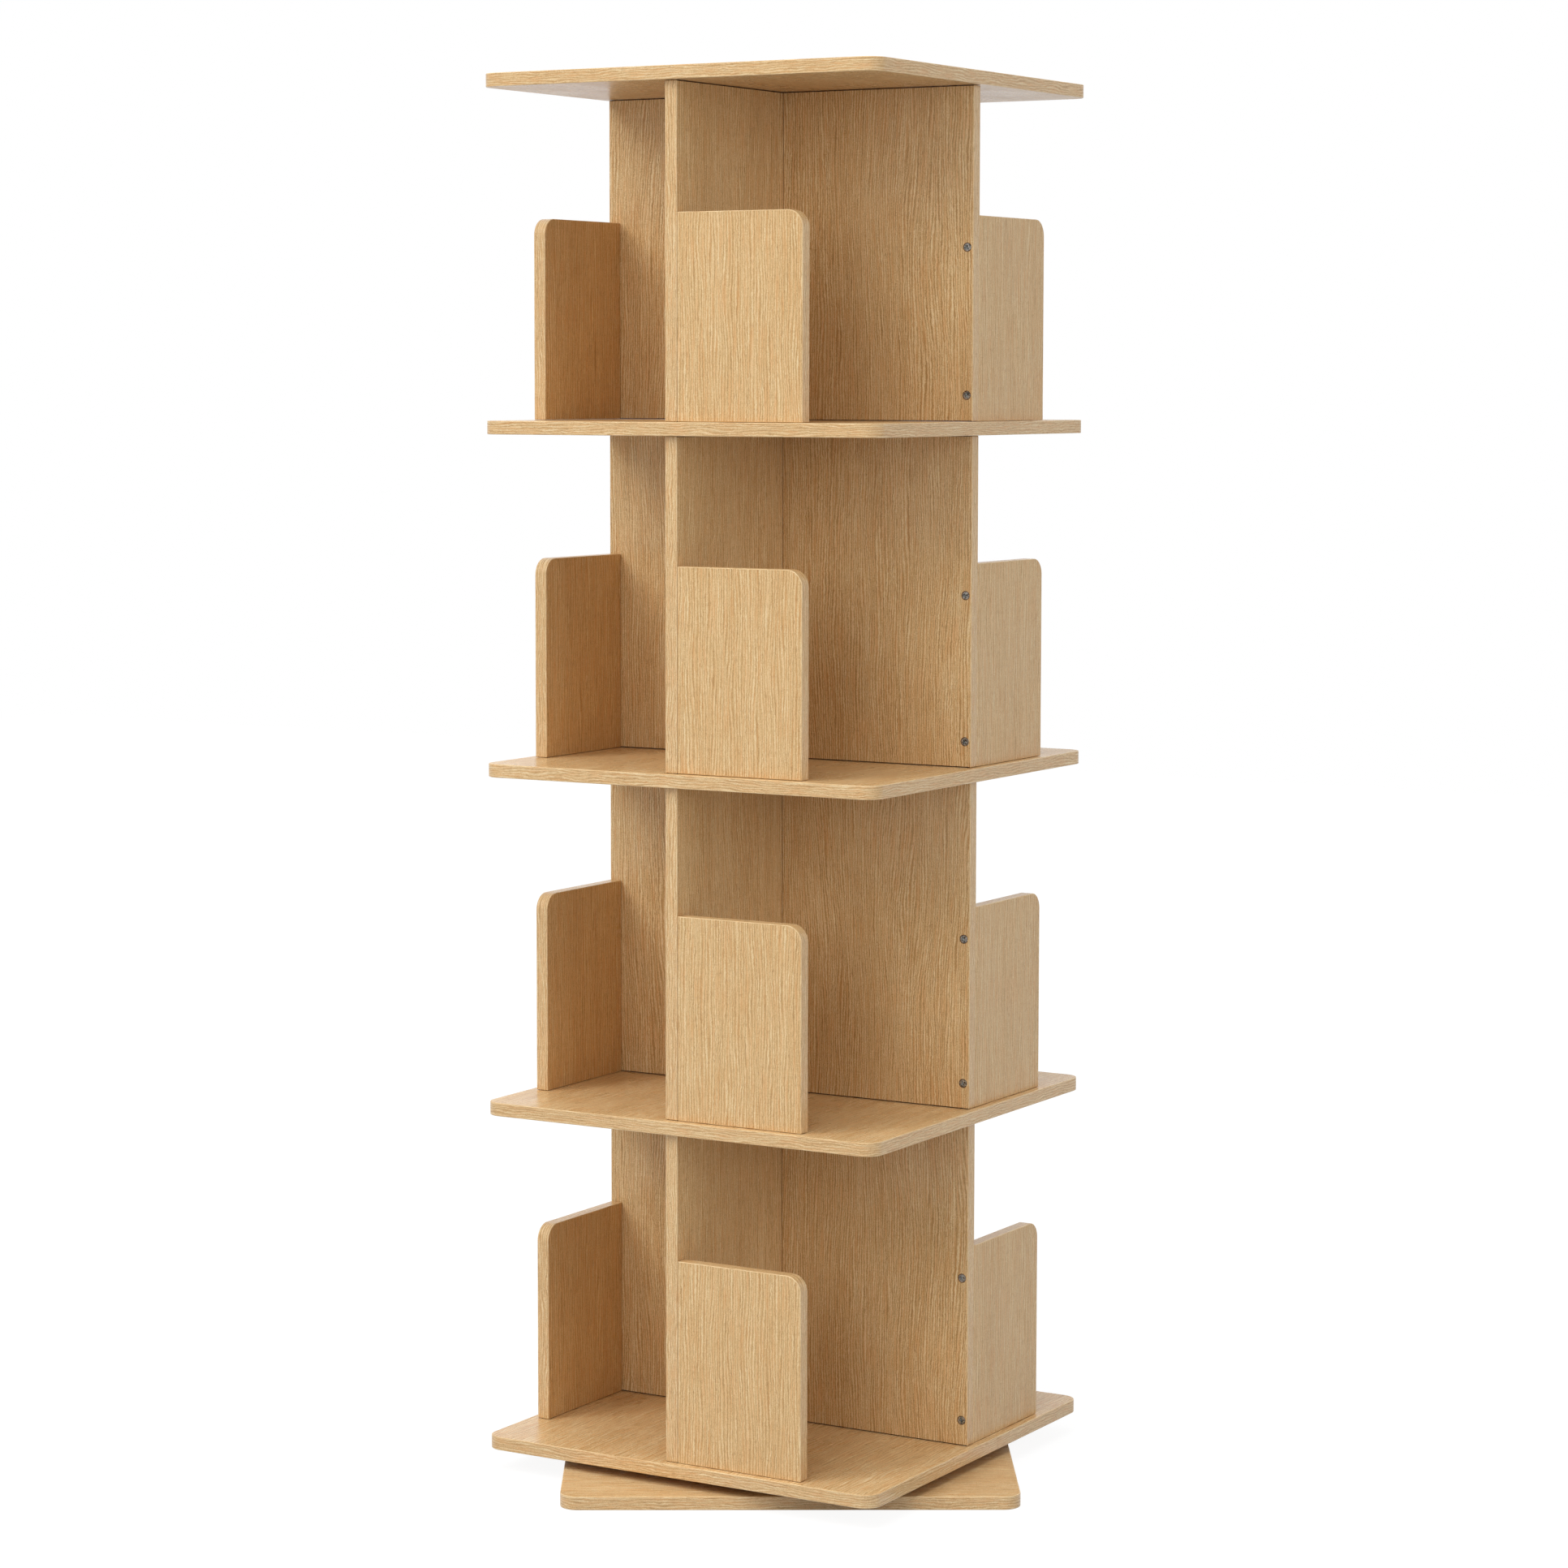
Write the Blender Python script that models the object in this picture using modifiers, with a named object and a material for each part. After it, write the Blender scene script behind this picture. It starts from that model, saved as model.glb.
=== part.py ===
"""Revolving bookcase: a four tier tower of oak board that turns on a plate bearing above its base.

Metres, +Z up. The origin is on the floor, on the axis that the tower turns about. The tower's
boards lie square to X and Y, and the base board stands turned below them, as it was left.
Each tier has four dividers in a pinwheel and a short side panel butted to each of them, so
every tier and every quarter turn repeats the same two pieces.
"""

import math

import bmesh
import bpy
from mathutils import Matrix, Vector

# Boards of the tower
BOARD_SIDE = 0.400
BOARD_THICK = 0.012
CORNER_RADIUS = 0.016
TIER_CLEAR = 0.2925
TIERS = 4
EDGE_EASE = 0.0007

# Base board, turned against the tower
BASE_SIDE = 0.403
BASE_THICK = 0.012
BASE_TURN = math.radians(31)

# Dividers and the short side panels that butt against them
DIVIDER_THICK = 0.012
DIVIDER_INSET = 0.0075
SIDE_THICK = 0.012
SIDE_LENGTH = 0.125
SIDE_HEIGHT = 0.180
SIDE_CORNER_RADIUS = 0.015

# Holes of the screws that hold a side panel to its divider
SCREW_FOOT_INSET = 0.023
SCREW_TOP_INSET = 0.028
SCREW_HOLE_RADIUS = 0.0020
SINK_RADIUS = 0.0038
SINK_DEPTH = 0.0020
PILOT_RADIUS = 0.0014
PILOT_DEPTH = 0.0180

# Plate bearing: two pressed plates, a ring of balls and the eyelet that keeps them together
BEARING_HEIGHT = 0.008
PLATE_SIDE = 0.150
PLATE_THICK = 0.0012
PLATE_CORNER_RADIUS = 0.008
PLATE_HOLE_INSET = 0.011
PLATE_HOLE_RADIUS = 0.0022
LIP_RADIUS = 0.018
DISH_RADIUS = 0.027
DISH_RISE = 0.0014
TRACK_RADIUS = 0.048
BALL_COUNT = 16
CAGE_WIDTH = 0.0030
CAGE_THICK = 0.0010
EYELET_WALL = 0.0010
FLANGE_WIDTH = 0.0030
FLANGE_THICK = 0.0008

# Screws of the bearing
HEAD_RADIUS = 0.0034
SHANK_RADIUS = 0.0016
TIP_RADIUS = 0.0004
TIP_LENGTH = 0.0030
RECESS_LENGTH = 0.0036
RECESS_WIDTH = 0.0008
RECESS_DEPTH = 0.0008
HEAD_CROWN_SHARE = 0.70
HEAD_RIM_SHARE = 0.45
SCREW_BITE_SHARE = 0.65

# Clearances
SEAT_GAP = 0.0003
RUNNING_GAP = 0.0003
RIM_GAP = 0.0005
RIM_SPLIT = 0.0008
HEAD_SPLIT = 0.0014
OVERRUN = 0.002

# Facets and merging
CORNER_STEPS = 8
HOLE_STEPS = 12
RING_STEPS = 32
BALL_STEPS = 8
BALL_RINGS = 4
WELD = 0.00001
SHARP_ANGLE = math.radians(30)
UPRIGHT_SHARE = 0.9
ROUND_PROFILE_SHARE = 0.5

OAK_COLOUR = (0.66, 0.46, 0.25, 1)
STEEL_COLOUR = (0.50, 0.50, 0.51, 1)
OAK_ROUGHNESS = 0.35
STEEL_ROUGHNESS = 0.30

SIDES = ("front", "right", "back", "left")
QUARTER = math.radians(90)
HALF_TURN = math.radians(180)

# Places worked out from the sizes above
REACH = BOARD_SIDE / 2 - DIVIDER_INSET
TIER_PITCH = TIER_CLEAR + BOARD_THICK
LOW_SHELF = BASE_THICK + BEARING_HEIGHT
BEARING_MIDDLE = BASE_THICK + BEARING_HEIGHT / 2
SCREW_LINE = REACH - SIDE_THICK / 2
SCREW_HEIGHTS = (SCREW_FOOT_INSET, SIDE_HEIGHT - SCREW_TOP_INSET)
PLATE_TOP = SEAT_GAP + PLATE_THICK
HEAD_SEAT = PLATE_TOP + SEAT_GAP
HEAD_HEIGHT = BEARING_HEIGHT / 2 - HEAD_SEAT - HEAD_SPLIT / 2
BITE = SCREW_BITE_SHARE * min(BASE_THICK, BOARD_THICK)
SHANK_LENGTH = HEAD_SEAT + BITE
BALL_RADIUS = BEARING_HEIGHT / 2 - PLATE_TOP - RUNNING_GAP
HOLE_PLACE = PLATE_SIDE / 2 - PLATE_HOLE_INSET


def clear_scene():
    """Start from an empty scene."""
    for found in list(bpy.data.objects):
        bpy.data.objects.remove(found, do_unlink=True)


def make_collection(name):
    """A collection of its own under the scene."""
    made = bpy.data.collections.new(name)
    bpy.context.scene.collection.children.link(made)
    return made


def make_material(name, colour, roughness, metallic):
    """A Principled material in one plain colour."""
    made = bpy.data.materials.new(name)
    made.use_nodes = True
    shader = made.node_tree.nodes["Principled BSDF"]
    shader.inputs["Base Color"].default_value = colour
    shader.inputs["Roughness"].default_value = roughness
    shader.inputs["Metallic"].default_value = metallic
    return made


def mesh_from(bm, name):
    """Turn a bmesh into a mesh with its faces pointing out."""
    bmesh.ops.recalc_face_normals(bm, faces=bm.faces)
    mesh = bpy.data.meshes.new(name)
    bm.to_mesh(mesh)
    bm.free()
    return mesh


def evaluated_mesh(worked):
    """The mesh that an object's modifiers make, after which the object is removed."""
    bpy.context.view_layer.update()
    graph = bpy.context.evaluated_depsgraph_get()
    made = bpy.data.meshes.new_from_object(worked.evaluated_get(graph))
    bpy.data.objects.remove(worked, do_unlink=True)
    return made


def box(low, high):
    """A box between two corners."""
    bm = bmesh.new()
    bmesh.ops.create_cube(bm, size=1)
    size = Vector(high) - Vector(low)
    middle = (Vector(high) + Vector(low)) / 2
    place = Matrix.Translation(middle) @ Matrix.Diagonal((*size, 1))
    bmesh.ops.transform(bm, matrix=place, verts=bm.verts)
    return bm


def rounded_box(name, low, high, radius, chosen):
    """A box with its chosen edges rounded to a radius."""
    bm = box(low, high)
    bmesh.ops.bevel(
        bm,
        geom=[edge for edge in bm.edges if chosen(edge)],
        offset=radius,
        segments=CORNER_STEPS,
        profile=ROUND_PROFILE_SHARE,
        affect="EDGES",
    )
    return mesh_from(bm, name)


def is_upright(edge):
    """Whether an edge runs along Z."""
    run = edge.verts[1].co - edge.verts[0].co
    return abs(run.normalized().z) > UPRIGHT_SHARE


def cylinder(name, radius, low, high, steps=HOLE_STEPS):
    """A cylinder about Z between two heights."""
    bm = bmesh.new()
    middle = Matrix.Translation((0, 0, (low + high) / 2))
    bmesh.ops.create_cone(
        bm, cap_ends=True, segments=steps, radius1=radius, radius2=radius, depth=high - low, matrix=middle
    )
    return mesh_from(bm, name)


def turned(name, profile, steps, is_ring=False):
    """Turn a profile of (radius, height) points about Z. A ring's profile closes on itself."""
    last = len(profile) - 1
    edges = [(point, point + 1) for point in range(last)]
    if is_ring:
        edges.append((last, 0))
    line = bpy.data.meshes.new(name)
    line.from_pydata([(radius, 0, height) for radius, height in profile], edges, [])
    guide = bpy.data.objects.new(name, line)
    bpy.context.scene.collection.objects.link(guide)
    turn = guide.modifiers.new("turn", "SCREW")
    turn.angle = math.tau
    turn.steps = steps
    turn.render_steps = steps
    turn.use_merge_vertices = True
    turn.merge_threshold = WELD
    bm = bmesh.new()
    bm.from_mesh(evaluated_mesh(guide))
    return mesh_from(bm, name)


def shaped(name, mesh, ease=0, joins=(), cuts=()):
    """Ease a mesh's sharp edges, then join other shapes to it and cut others out. Each is (mesh, matrix)."""
    worked = bpy.data.objects.new(name, mesh)
    bpy.context.scene.collection.objects.link(worked)
    if ease:
        bevel = worked.modifiers.new("ease", "BEVEL")
        bevel.width = ease
        bevel.segments = 1
        bevel.limit_method = "ANGLE"
        bevel.angle_limit = SHARP_ANGLE
    tools = []
    for operation, shapes in (("UNION", joins), ("DIFFERENCE", cuts)):
        for shape, place in shapes:
            tool = bpy.data.objects.new(name + "_tool", shape)
            tool.matrix_world = place
            tool.hide_render = True
            tool.display_type = "WIRE"
            bpy.context.scene.collection.objects.link(tool)
            boolean = worked.modifiers.new(operation, "BOOLEAN")
            boolean.operation = operation
            boolean.object = tool
            tools.append(tool)
    made = evaluated_mesh(worked)
    for tool in tools:
        bpy.data.objects.remove(tool, do_unlink=True)
    made.shade_smooth()
    made.set_sharp_from_angle(angle=SHARP_ANGLE)
    return made


def place_part(name, mesh, material, parent, place=(0, 0, 0), turn=(0, 0, 0)):
    """Put a sub-part in the collection, under the empty that it moves with."""
    made = bpy.data.objects.new(name, mesh)
    parts.objects.link(made)
    mesh.materials.clear()
    mesh.materials.append(material)
    made.parent = parent
    made.location = place
    made.rotation_euler = turn
    return made


def add_axis(name, turn=0):
    """An empty on the turning axis that carries what moves together."""
    made = bpy.data.objects.new(name, None)
    made.rotation_euler = (0, 0, turn)
    parts.objects.link(made)
    return made


def corner_places(offset):
    """The four corners of a square about the axis."""
    return [(x * offset, y * offset) for x in (-1, 1) for y in (-1, 1)]


def board_mesh(name, side, thick, hole_face=None, hole_inward=0):
    """A square board with round corners, resting on z = 0, with screw holes where the bearing meets it."""
    half = side / 2
    mesh = rounded_box(name, (-half, -half, 0), (half, half, thick), CORNER_RADIUS, is_upright)
    if hole_face is None:
        return shaped(name, mesh, ease=EDGE_EASE)
    ends = (hole_face - hole_inward * OVERRUN, hole_face + hole_inward * (BITE + SEAT_GAP))
    hole = cylinder(name + "_hole", SHANK_RADIUS + SEAT_GAP, min(ends), max(ends))
    cuts = [(hole, Matrix.Translation((x, y, 0))) for x, y in corner_places(HOLE_PLACE)]
    return shaped(name, mesh, ease=EDGE_EASE, cuts=cuts)


def divider_mesh():
    """A full height divider that runs from the axis to the front edge, with two sunk screw holes."""
    low = (-DIVIDER_THICK, -REACH, SEAT_GAP)
    high = (0, -SEAT_GAP, TIER_CLEAR - SEAT_GAP)
    profile = (
        (0, OVERRUN),
        (SINK_RADIUS, OVERRUN),
        (SINK_RADIUS, 0),
        (SCREW_HOLE_RADIUS, -SINK_DEPTH),
        (SCREW_HOLE_RADIUS, -DIVIDER_THICK - OVERRUN),
        (0, -DIVIDER_THICK - OVERRUN),
    )
    hole = turned("divider_hole", profile, HOLE_STEPS)
    along_x = Matrix.Rotation(-QUARTER, 4, "Y")
    places = [(-DIVIDER_THICK, -SCREW_LINE, height) for height in SCREW_HEIGHTS]
    cuts = [(hole, Matrix.Translation(place) @ along_x) for place in places]
    return shaped("divider", mesh_from(box(low, high), "divider"), ease=EDGE_EASE, cuts=cuts)


def side_panel_mesh():
    """A short upright panel along the front edge, butted to its divider, with one round top corner."""
    low = (SEAT_GAP, -REACH, SEAT_GAP)
    high = (SIDE_LENGTH, -REACH + SIDE_THICK, SIDE_HEIGHT)

    def is_outer_top(edge):
        return all(vert.co.x > SIDE_LENGTH / 2 and vert.co.z > SIDE_HEIGHT / 2 for vert in edge.verts)

    mesh = rounded_box("side_panel", low, high, SIDE_CORNER_RADIUS, is_outer_top)
    hole = cylinder("side_panel_hole", PILOT_RADIUS, -OVERRUN, PILOT_DEPTH)
    along_x = Matrix.Rotation(QUARTER, 4, "Y")
    cuts = [(hole, Matrix.Translation((0, -SCREW_LINE, height)) @ along_x) for height in SCREW_HEIGHTS]
    return shaped("side_panel", mesh, ease=EDGE_EASE, cuts=cuts)


def bearing_plate_mesh():
    """A pressed plate with its outer face at z = 0, a raised middle lip and a rim round the balls."""
    half = PLATE_SIDE / 2
    sheet = rounded_box(
        "plate", (-half, -half, 0), (half, half, PLATE_THICK), PLATE_CORNER_RADIUS, is_upright
    )
    lip_top = DISH_RISE + PLATE_THICK
    wall_foot = PLATE_THICK / 2
    lip_profile = (
        (LIP_RADIUS, lip_top),
        (DISH_RADIUS, lip_top),
        (DISH_RADIUS, wall_foot),
        (DISH_RADIUS - PLATE_THICK, wall_foot),
        (DISH_RADIUS - PLATE_THICK, DISH_RISE),
        (LIP_RADIUS, DISH_RISE),
    )
    rim_inner = TRACK_RADIUS + BALL_RADIUS + RIM_GAP
    rim_outer = rim_inner + PLATE_THICK
    rim_top = BEARING_HEIGHT / 2 - SEAT_GAP - RIM_SPLIT / 2
    rim_profile = (
        (rim_inner, rim_top),
        (rim_outer, rim_top),
        (rim_outer, wall_foot),
        (rim_inner, wall_foot),
    )
    middle_hole = cylinder(
        "plate_middle", DISH_RADIUS - PLATE_THICK / 2, -OVERRUN, PLATE_THICK + OVERRUN, RING_STEPS
    )
    screw_hole = cylinder("plate_hole", PLATE_HOLE_RADIUS, -OVERRUN, PLATE_THICK + OVERRUN)
    cuts = [(middle_hole, Matrix())]
    cuts += [(screw_hole, Matrix.Translation((x, y, 0))) for x, y in corner_places(HOLE_PLACE)]
    cut_sheet = shaped("plate_sheet", sheet, cuts=cuts)
    joins = [
        (turned("plate_lip", lip_profile, RING_STEPS, is_ring=True), Matrix()),
        (turned("plate_rim", rim_profile, RING_STEPS, is_ring=True), Matrix()),
    ]
    return shaped("bearing_plate", cut_sheet, joins=joins)


def ball_ring_mesh():
    """The balls in their cage, about the middle of the bearing's height."""
    inner = TRACK_RADIUS - CAGE_WIDTH / 2
    outer = TRACK_RADIUS + CAGE_WIDTH / 2
    half = CAGE_THICK / 2
    cage = turned(
        "cage", ((inner, half), (outer, half), (outer, -half), (inner, -half)), RING_STEPS, is_ring=True
    )
    balls = bmesh.new()
    for ball in range(BALL_COUNT):
        turn = Matrix.Rotation(math.tau * ball / BALL_COUNT, 4, "Z")
        place = turn @ Matrix.Translation((TRACK_RADIUS, 0, 0))
        bmesh.ops.create_uvsphere(
            balls, u_segments=BALL_STEPS, v_segments=BALL_RINGS, radius=BALL_RADIUS, matrix=place
        )
    return shaped("ball_ring", cage, joins=[(mesh_from(balls, "balls"), Matrix())])


def eyelet_mesh():
    """The rolled eyelet that runs through both plates, about the middle of the bearing's height."""
    outer = LIP_RADIUS - RUNNING_GAP
    inner = outer - EYELET_WALL
    flange = LIP_RADIUS + FLANGE_WIDTH
    seat = BEARING_HEIGHT / 2 - SEAT_GAP - DISH_RISE + RUNNING_GAP
    end = seat + FLANGE_THICK
    profile = (
        (inner, end),
        (flange, end),
        (flange, seat),
        (outer, seat),
        (outer, -seat),
        (flange, -seat),
        (flange, -end),
        (inner, -end),
    )
    return shaped("eyelet", turned("eyelet", profile, RING_STEPS, is_ring=True))


def bearing_screw_mesh():
    """A pan head screw pointing down, with the underside of its head at z = 0 and a cross recess."""
    profile = (
        (0, HEAD_HEIGHT),
        (HEAD_RADIUS * HEAD_CROWN_SHARE, HEAD_HEIGHT),
        (HEAD_RADIUS, HEAD_HEIGHT * HEAD_RIM_SHARE),
        (HEAD_RADIUS, 0),
        (SHANK_RADIUS, 0),
        (SHANK_RADIUS, TIP_LENGTH - SHANK_LENGTH),
        (TIP_RADIUS, -SHANK_LENGTH),
        (0, -SHANK_LENGTH),
    )
    low = (-RECESS_LENGTH / 2, -RECESS_WIDTH / 2, HEAD_HEIGHT - RECESS_DEPTH)
    high = (RECESS_LENGTH / 2, RECESS_WIDTH / 2, HEAD_HEIGHT + OVERRUN)
    slot = mesh_from(box(low, high), "recess")
    cuts = [(slot, Matrix()), (slot, Matrix.Rotation(QUARTER, 4, "Z"))]
    return shaped("bearing_screw", turned("bearing_screw", profile, HOLE_STEPS), cuts=cuts)


def build_base(axis):
    """The base board and the half of the bearing that stands still."""
    board = board_mesh("base_board", BASE_SIDE, BASE_THICK, hole_face=BASE_THICK, hole_inward=-1)
    place_part("base_board", board, oak, axis)
    place_part("bearing_lower_plate", plate, steel, axis, (0, 0, BASE_THICK + SEAT_GAP))
    place_part("bearing_eyelet", eyelet_mesh(), steel, axis, (0, 0, BEARING_MIDDLE))
    for number, (x, y) in enumerate(corner_places(HOLE_PLACE), start=1):
        place_part(f"lower_plate_screw_{number}", screw, steel, axis, (x, y, BASE_THICK + HEAD_SEAT))


def build_tower(axis):
    """The upper plate, the shelves, the top, and in each tier the dividers and side panels."""
    flipped = (HALF_TURN, 0, 0)
    place_part("bearing_upper_plate", plate, steel, axis, (0, 0, LOW_SHELF - SEAT_GAP), flipped)
    for number, (x, y) in enumerate(corner_places(HOLE_PLACE), start=1):
        place_part(f"upper_plate_screw_{number}", screw, steel, axis, (x, y, LOW_SHELF - HEAD_SEAT), flipped)
    low_board = board_mesh("shelf_1", BOARD_SIDE, BOARD_THICK, hole_face=0, hole_inward=1)
    place_part("shelf_1", low_board, oak, axis, (0, 0, LOW_SHELF))
    board = board_mesh("board", BOARD_SIDE, BOARD_THICK)
    for tier in range(1, TIERS):
        place_part(f"shelf_{tier + 1}", board, oak, axis, (0, 0, LOW_SHELF + tier * TIER_PITCH))
    place_part("top_board", board, oak, axis, (0, 0, LOW_SHELF + TIERS * TIER_PITCH))
    divider = divider_mesh()
    side_panel = side_panel_mesh()
    for tier in range(TIERS):
        floor = LOW_SHELF + tier * TIER_PITCH + BOARD_THICK
        for quarter, side in enumerate(SIDES):
            turn = (0, 0, quarter * QUARTER)
            place_part(f"tier{tier + 1}_divider_{side}", divider, oak, axis, (0, 0, floor), turn)
            place_part(f"tier{tier + 1}_side_panel_{side}", side_panel, oak, axis, (0, 0, floor), turn)


clear_scene()
parts = make_collection("revolving_bookcase")
oak = make_material("oak_board", OAK_COLOUR, OAK_ROUGHNESS, 0)
steel = make_material("zinc_steel", STEEL_COLOUR, STEEL_ROUGHNESS, 1)
plate = bearing_plate_mesh()
screw = bearing_screw_mesh()
build_base(add_axis("base_axis", BASE_TURN))
build_tower(add_axis("tower_axis"))
place_part("bearing_ball_ring", ball_ring_mesh(), steel, add_axis("ball_ring_axis"), (0, 0, BEARING_MIDDLE))
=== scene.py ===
# %% [markdown]
# A revolving bookcase in light oak board. A square base lies flat on the floor. On a plate bearing above
# it turns a tower of five square boards, and each of its four tiers holds four upright dividers set as a
# pinwheel, with a short side panel screwed to the outer end of each.
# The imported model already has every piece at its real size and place, and it never moves here. This file
# gives each piece its finish, and makes finer meshes where the finish needs them. All sizes are in metres.

import math
import random

import bmesh
import bpy
from mathutils import Matrix, Vector


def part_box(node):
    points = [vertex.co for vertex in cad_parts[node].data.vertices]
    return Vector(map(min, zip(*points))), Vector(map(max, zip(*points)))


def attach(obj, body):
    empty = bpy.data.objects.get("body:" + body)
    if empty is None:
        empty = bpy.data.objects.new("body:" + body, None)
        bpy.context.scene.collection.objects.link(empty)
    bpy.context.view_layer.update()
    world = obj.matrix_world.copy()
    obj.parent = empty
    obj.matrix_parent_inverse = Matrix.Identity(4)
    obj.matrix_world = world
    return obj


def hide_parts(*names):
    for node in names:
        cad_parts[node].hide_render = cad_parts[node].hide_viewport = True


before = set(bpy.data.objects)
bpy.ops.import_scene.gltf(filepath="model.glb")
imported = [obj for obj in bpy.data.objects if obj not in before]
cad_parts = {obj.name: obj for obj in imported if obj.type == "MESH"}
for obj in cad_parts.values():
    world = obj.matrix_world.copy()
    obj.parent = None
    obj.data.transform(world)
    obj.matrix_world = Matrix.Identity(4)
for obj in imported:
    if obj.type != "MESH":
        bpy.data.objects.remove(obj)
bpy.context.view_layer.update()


# %% [markdown]
# The camera stands where the photographer stood. It could be placed by eye, but then every edge would be
# a little off, so its place and lens were solved from straight edges of the bookcase. They are written as
# the solution gave them: a place in metres, three turns in radians, a focal length and the pixel that the
# lens axis goes through. Blender wants a focal length in millimetres of its sensor and a shift as a share
# of the picture's side, and both follow from the pixels. The best match has the axis higher in the
# picture, but a view from elsewhere keeps this shift, and a larger one would cut off the top there. So the
# axis was held at 880 pixels and the rest solved again, which costs about half a pixel along the edges.

# %% Place the camera
PHOTO_SIDE_PIXELS = 1932
FOCAL_LENGTH_PIXELS = 5020.93
LENS_AXIS_PIXEL = (939.61, 880.00)
CAMERA_PLACE = Vector((1.85585, -3.18253, 0.98279))
CAMERA_YAW = 0.534402
CAMERA_PITCH = -0.0821315
CAMERA_ROLL = 0.0011022
SENSOR_MILLIMETRES = 36

lens = bpy.data.cameras.new("photo_camera")
lens.sensor_width = SENSOR_MILLIMETRES
lens.lens = FOCAL_LENGTH_PIXELS / PHOTO_SIDE_PIXELS * lens.sensor_width
lens.shift_x = 0.5 - LENS_AXIS_PIXEL[0] / PHOTO_SIDE_PIXELS
lens.shift_y = LENS_AXIS_PIXEL[1] / PHOTO_SIDE_PIXELS - 0.5
camera = bpy.data.objects.new("photo_camera", lens)
bpy.context.scene.collection.objects.link(camera)
camera.matrix_world = (
    Matrix.Translation(CAMERA_PLACE)
    @ Matrix.Rotation(CAMERA_YAW, 4, "Z")
    @ Matrix.Rotation(math.pi / 2 + CAMERA_PITCH, 4, "X")
    @ Matrix.Rotation(CAMERA_ROLL, 4, "Z")
)
bpy.context.scene.camera = camera
bpy.context.scene.view_settings.view_transform = "Standard"
print(f"camera: {lens.lens:.2f} mm lens, shift {lens.shift_x:.4f}, {lens.shift_y:.4f}")


# %% [markdown]
# Every material below is a small tree of nodes, and so are the screws. Each node could be made in four or
# five lines of its own, but one helper that adds a node, sets its options and fills its inputs keeps a tree
# short enough to read. An input takes a plain value, or another node's output, which becomes a link.

# %% Helpers for nodes
def add_node(tree, kind, inputs=(), **options):
    """Add a node. Inputs maps a socket's name or number to a value or to another node's output."""
    made = tree.nodes.new(kind)
    for option, choice in options.items():
        setattr(made, option, choice)
    for socket, given in dict(inputs).items():
        if isinstance(given, bpy.types.NodeSocket):
            tree.links.new(given, made.inputs[socket])
        else:
            made.inputs[socket].default_value = given
    return made


def calculate(tree, operation, first, second):
    """One step of arithmetic on two numbers or outputs."""
    return add_node(tree, "ShaderNodeMath", {0: first, 1: second}, operation=operation).outputs[0]


def blank_tree(owner):
    """Turn nodes on for a material or world, and return its tree and its output node."""
    owner.use_nodes = True
    tree = owner.node_tree
    tree.nodes.clear()
    is_world = isinstance(owner, bpy.types.World)
    output = tree.nodes.new("ShaderNodeOutputWorld" if is_world else "ShaderNodeOutputMaterial")
    return tree, output


# %% [markdown]
# The bookcase stands in a white studio. Bright white all round could light it alone, but would leave hardly
# a shadow. So the surround is plain white to the camera and in reflections, and only a third as strong as a
# light, which fills the inner corners.

# %% White surround
SURROUND_STRENGTH = 0.33
WHITE = (1, 1, 1, 1)


def seen_directly(tree):
    """1 for what is seen straight, mirrored or through glass, and 0 for light that falls on things."""
    path = add_node(tree, "ShaderNodeLightPath").outputs
    mirrored = calculate(tree, "MAXIMUM", path["Is Glossy Ray"], path["Is Transmission Ray"])
    return calculate(tree, "MAXIMUM", path["Is Camera Ray"], mirrored)


def light_the_surround():
    """A white world: strength 1 where it is seen, and less as a light."""
    world = bpy.data.worlds.new("white_studio")
    tree, output = blank_tree(world)
    as_light = add_node(tree, "ShaderNodeBackground", {"Color": WHITE, "Strength": SURROUND_STRENGTH})
    as_seen = add_node(tree, "ShaderNodeBackground", {"Color": WHITE, "Strength": 1})
    choice = add_node(
        tree, "ShaderNodeMixShader", {0: seen_directly(tree), 1: as_light.outputs[0], 2: as_seen.outputs[0]}
    )
    tree.links.new(choice.outputs[0], output.inputs["Surface"])
    bpy.context.scene.world = world


light_the_surround()
print("surround: white to look at, and", SURROUND_STRENGTH, "as a light")


# %% [markdown]
# Four soft boxes stand round the bookcase: one in front, a stronger one high on the left, and weaker ones
# on the right and behind. They are several metres off, so that the lower tiers get nearly as much light as
# the upper ones, and the side panels throw soft shadows on the dividers behind them. A wide lamp overhead
# lights the boards. It is far away, as Blender's suns are, and its angle says how large it looks. The lamps
# are left out of reflections, because lacquer seen at a low angle would mirror them as a white patch.

# %% Lamps
BOX_SIDE = 2.5
BOX_DISTANCE = 4.5
BOX_AIM = Vector((0, 0, 0.65))
# For each box: degrees from the front to the left, height in metres, watts
SOFT_BOXES = {
    "front": (-10, 2.2, 33),
    "left": (35, 3.9, 120),
    "right": (-70, 2.2, 41),
    "back": (180, 2.8, 28),
}
OVERHEAD_STRENGTH = 1.55
OVERHEAD_WIDTH = math.radians(50)
OVERHEAD_TILT = math.radians(15)


def stand_soft_box(name, turn, height, power):
    """A square soft box that faces the bookcase."""
    light = bpy.data.lights.new(f"soft_box_{name}", "AREA")
    light.shape = "SQUARE"
    light.size = BOX_SIDE
    light.energy = power
    box = bpy.data.objects.new(f"soft_box_{name}", light)
    box.location = (-math.sin(turn) * BOX_DISTANCE, -math.cos(turn) * BOX_DISTANCE, height)
    box.rotation_euler = (box.location - BOX_AIM).to_track_quat("Z", "Y").to_euler()
    box.visible_glossy = False
    bpy.context.scene.collection.objects.link(box)


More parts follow.
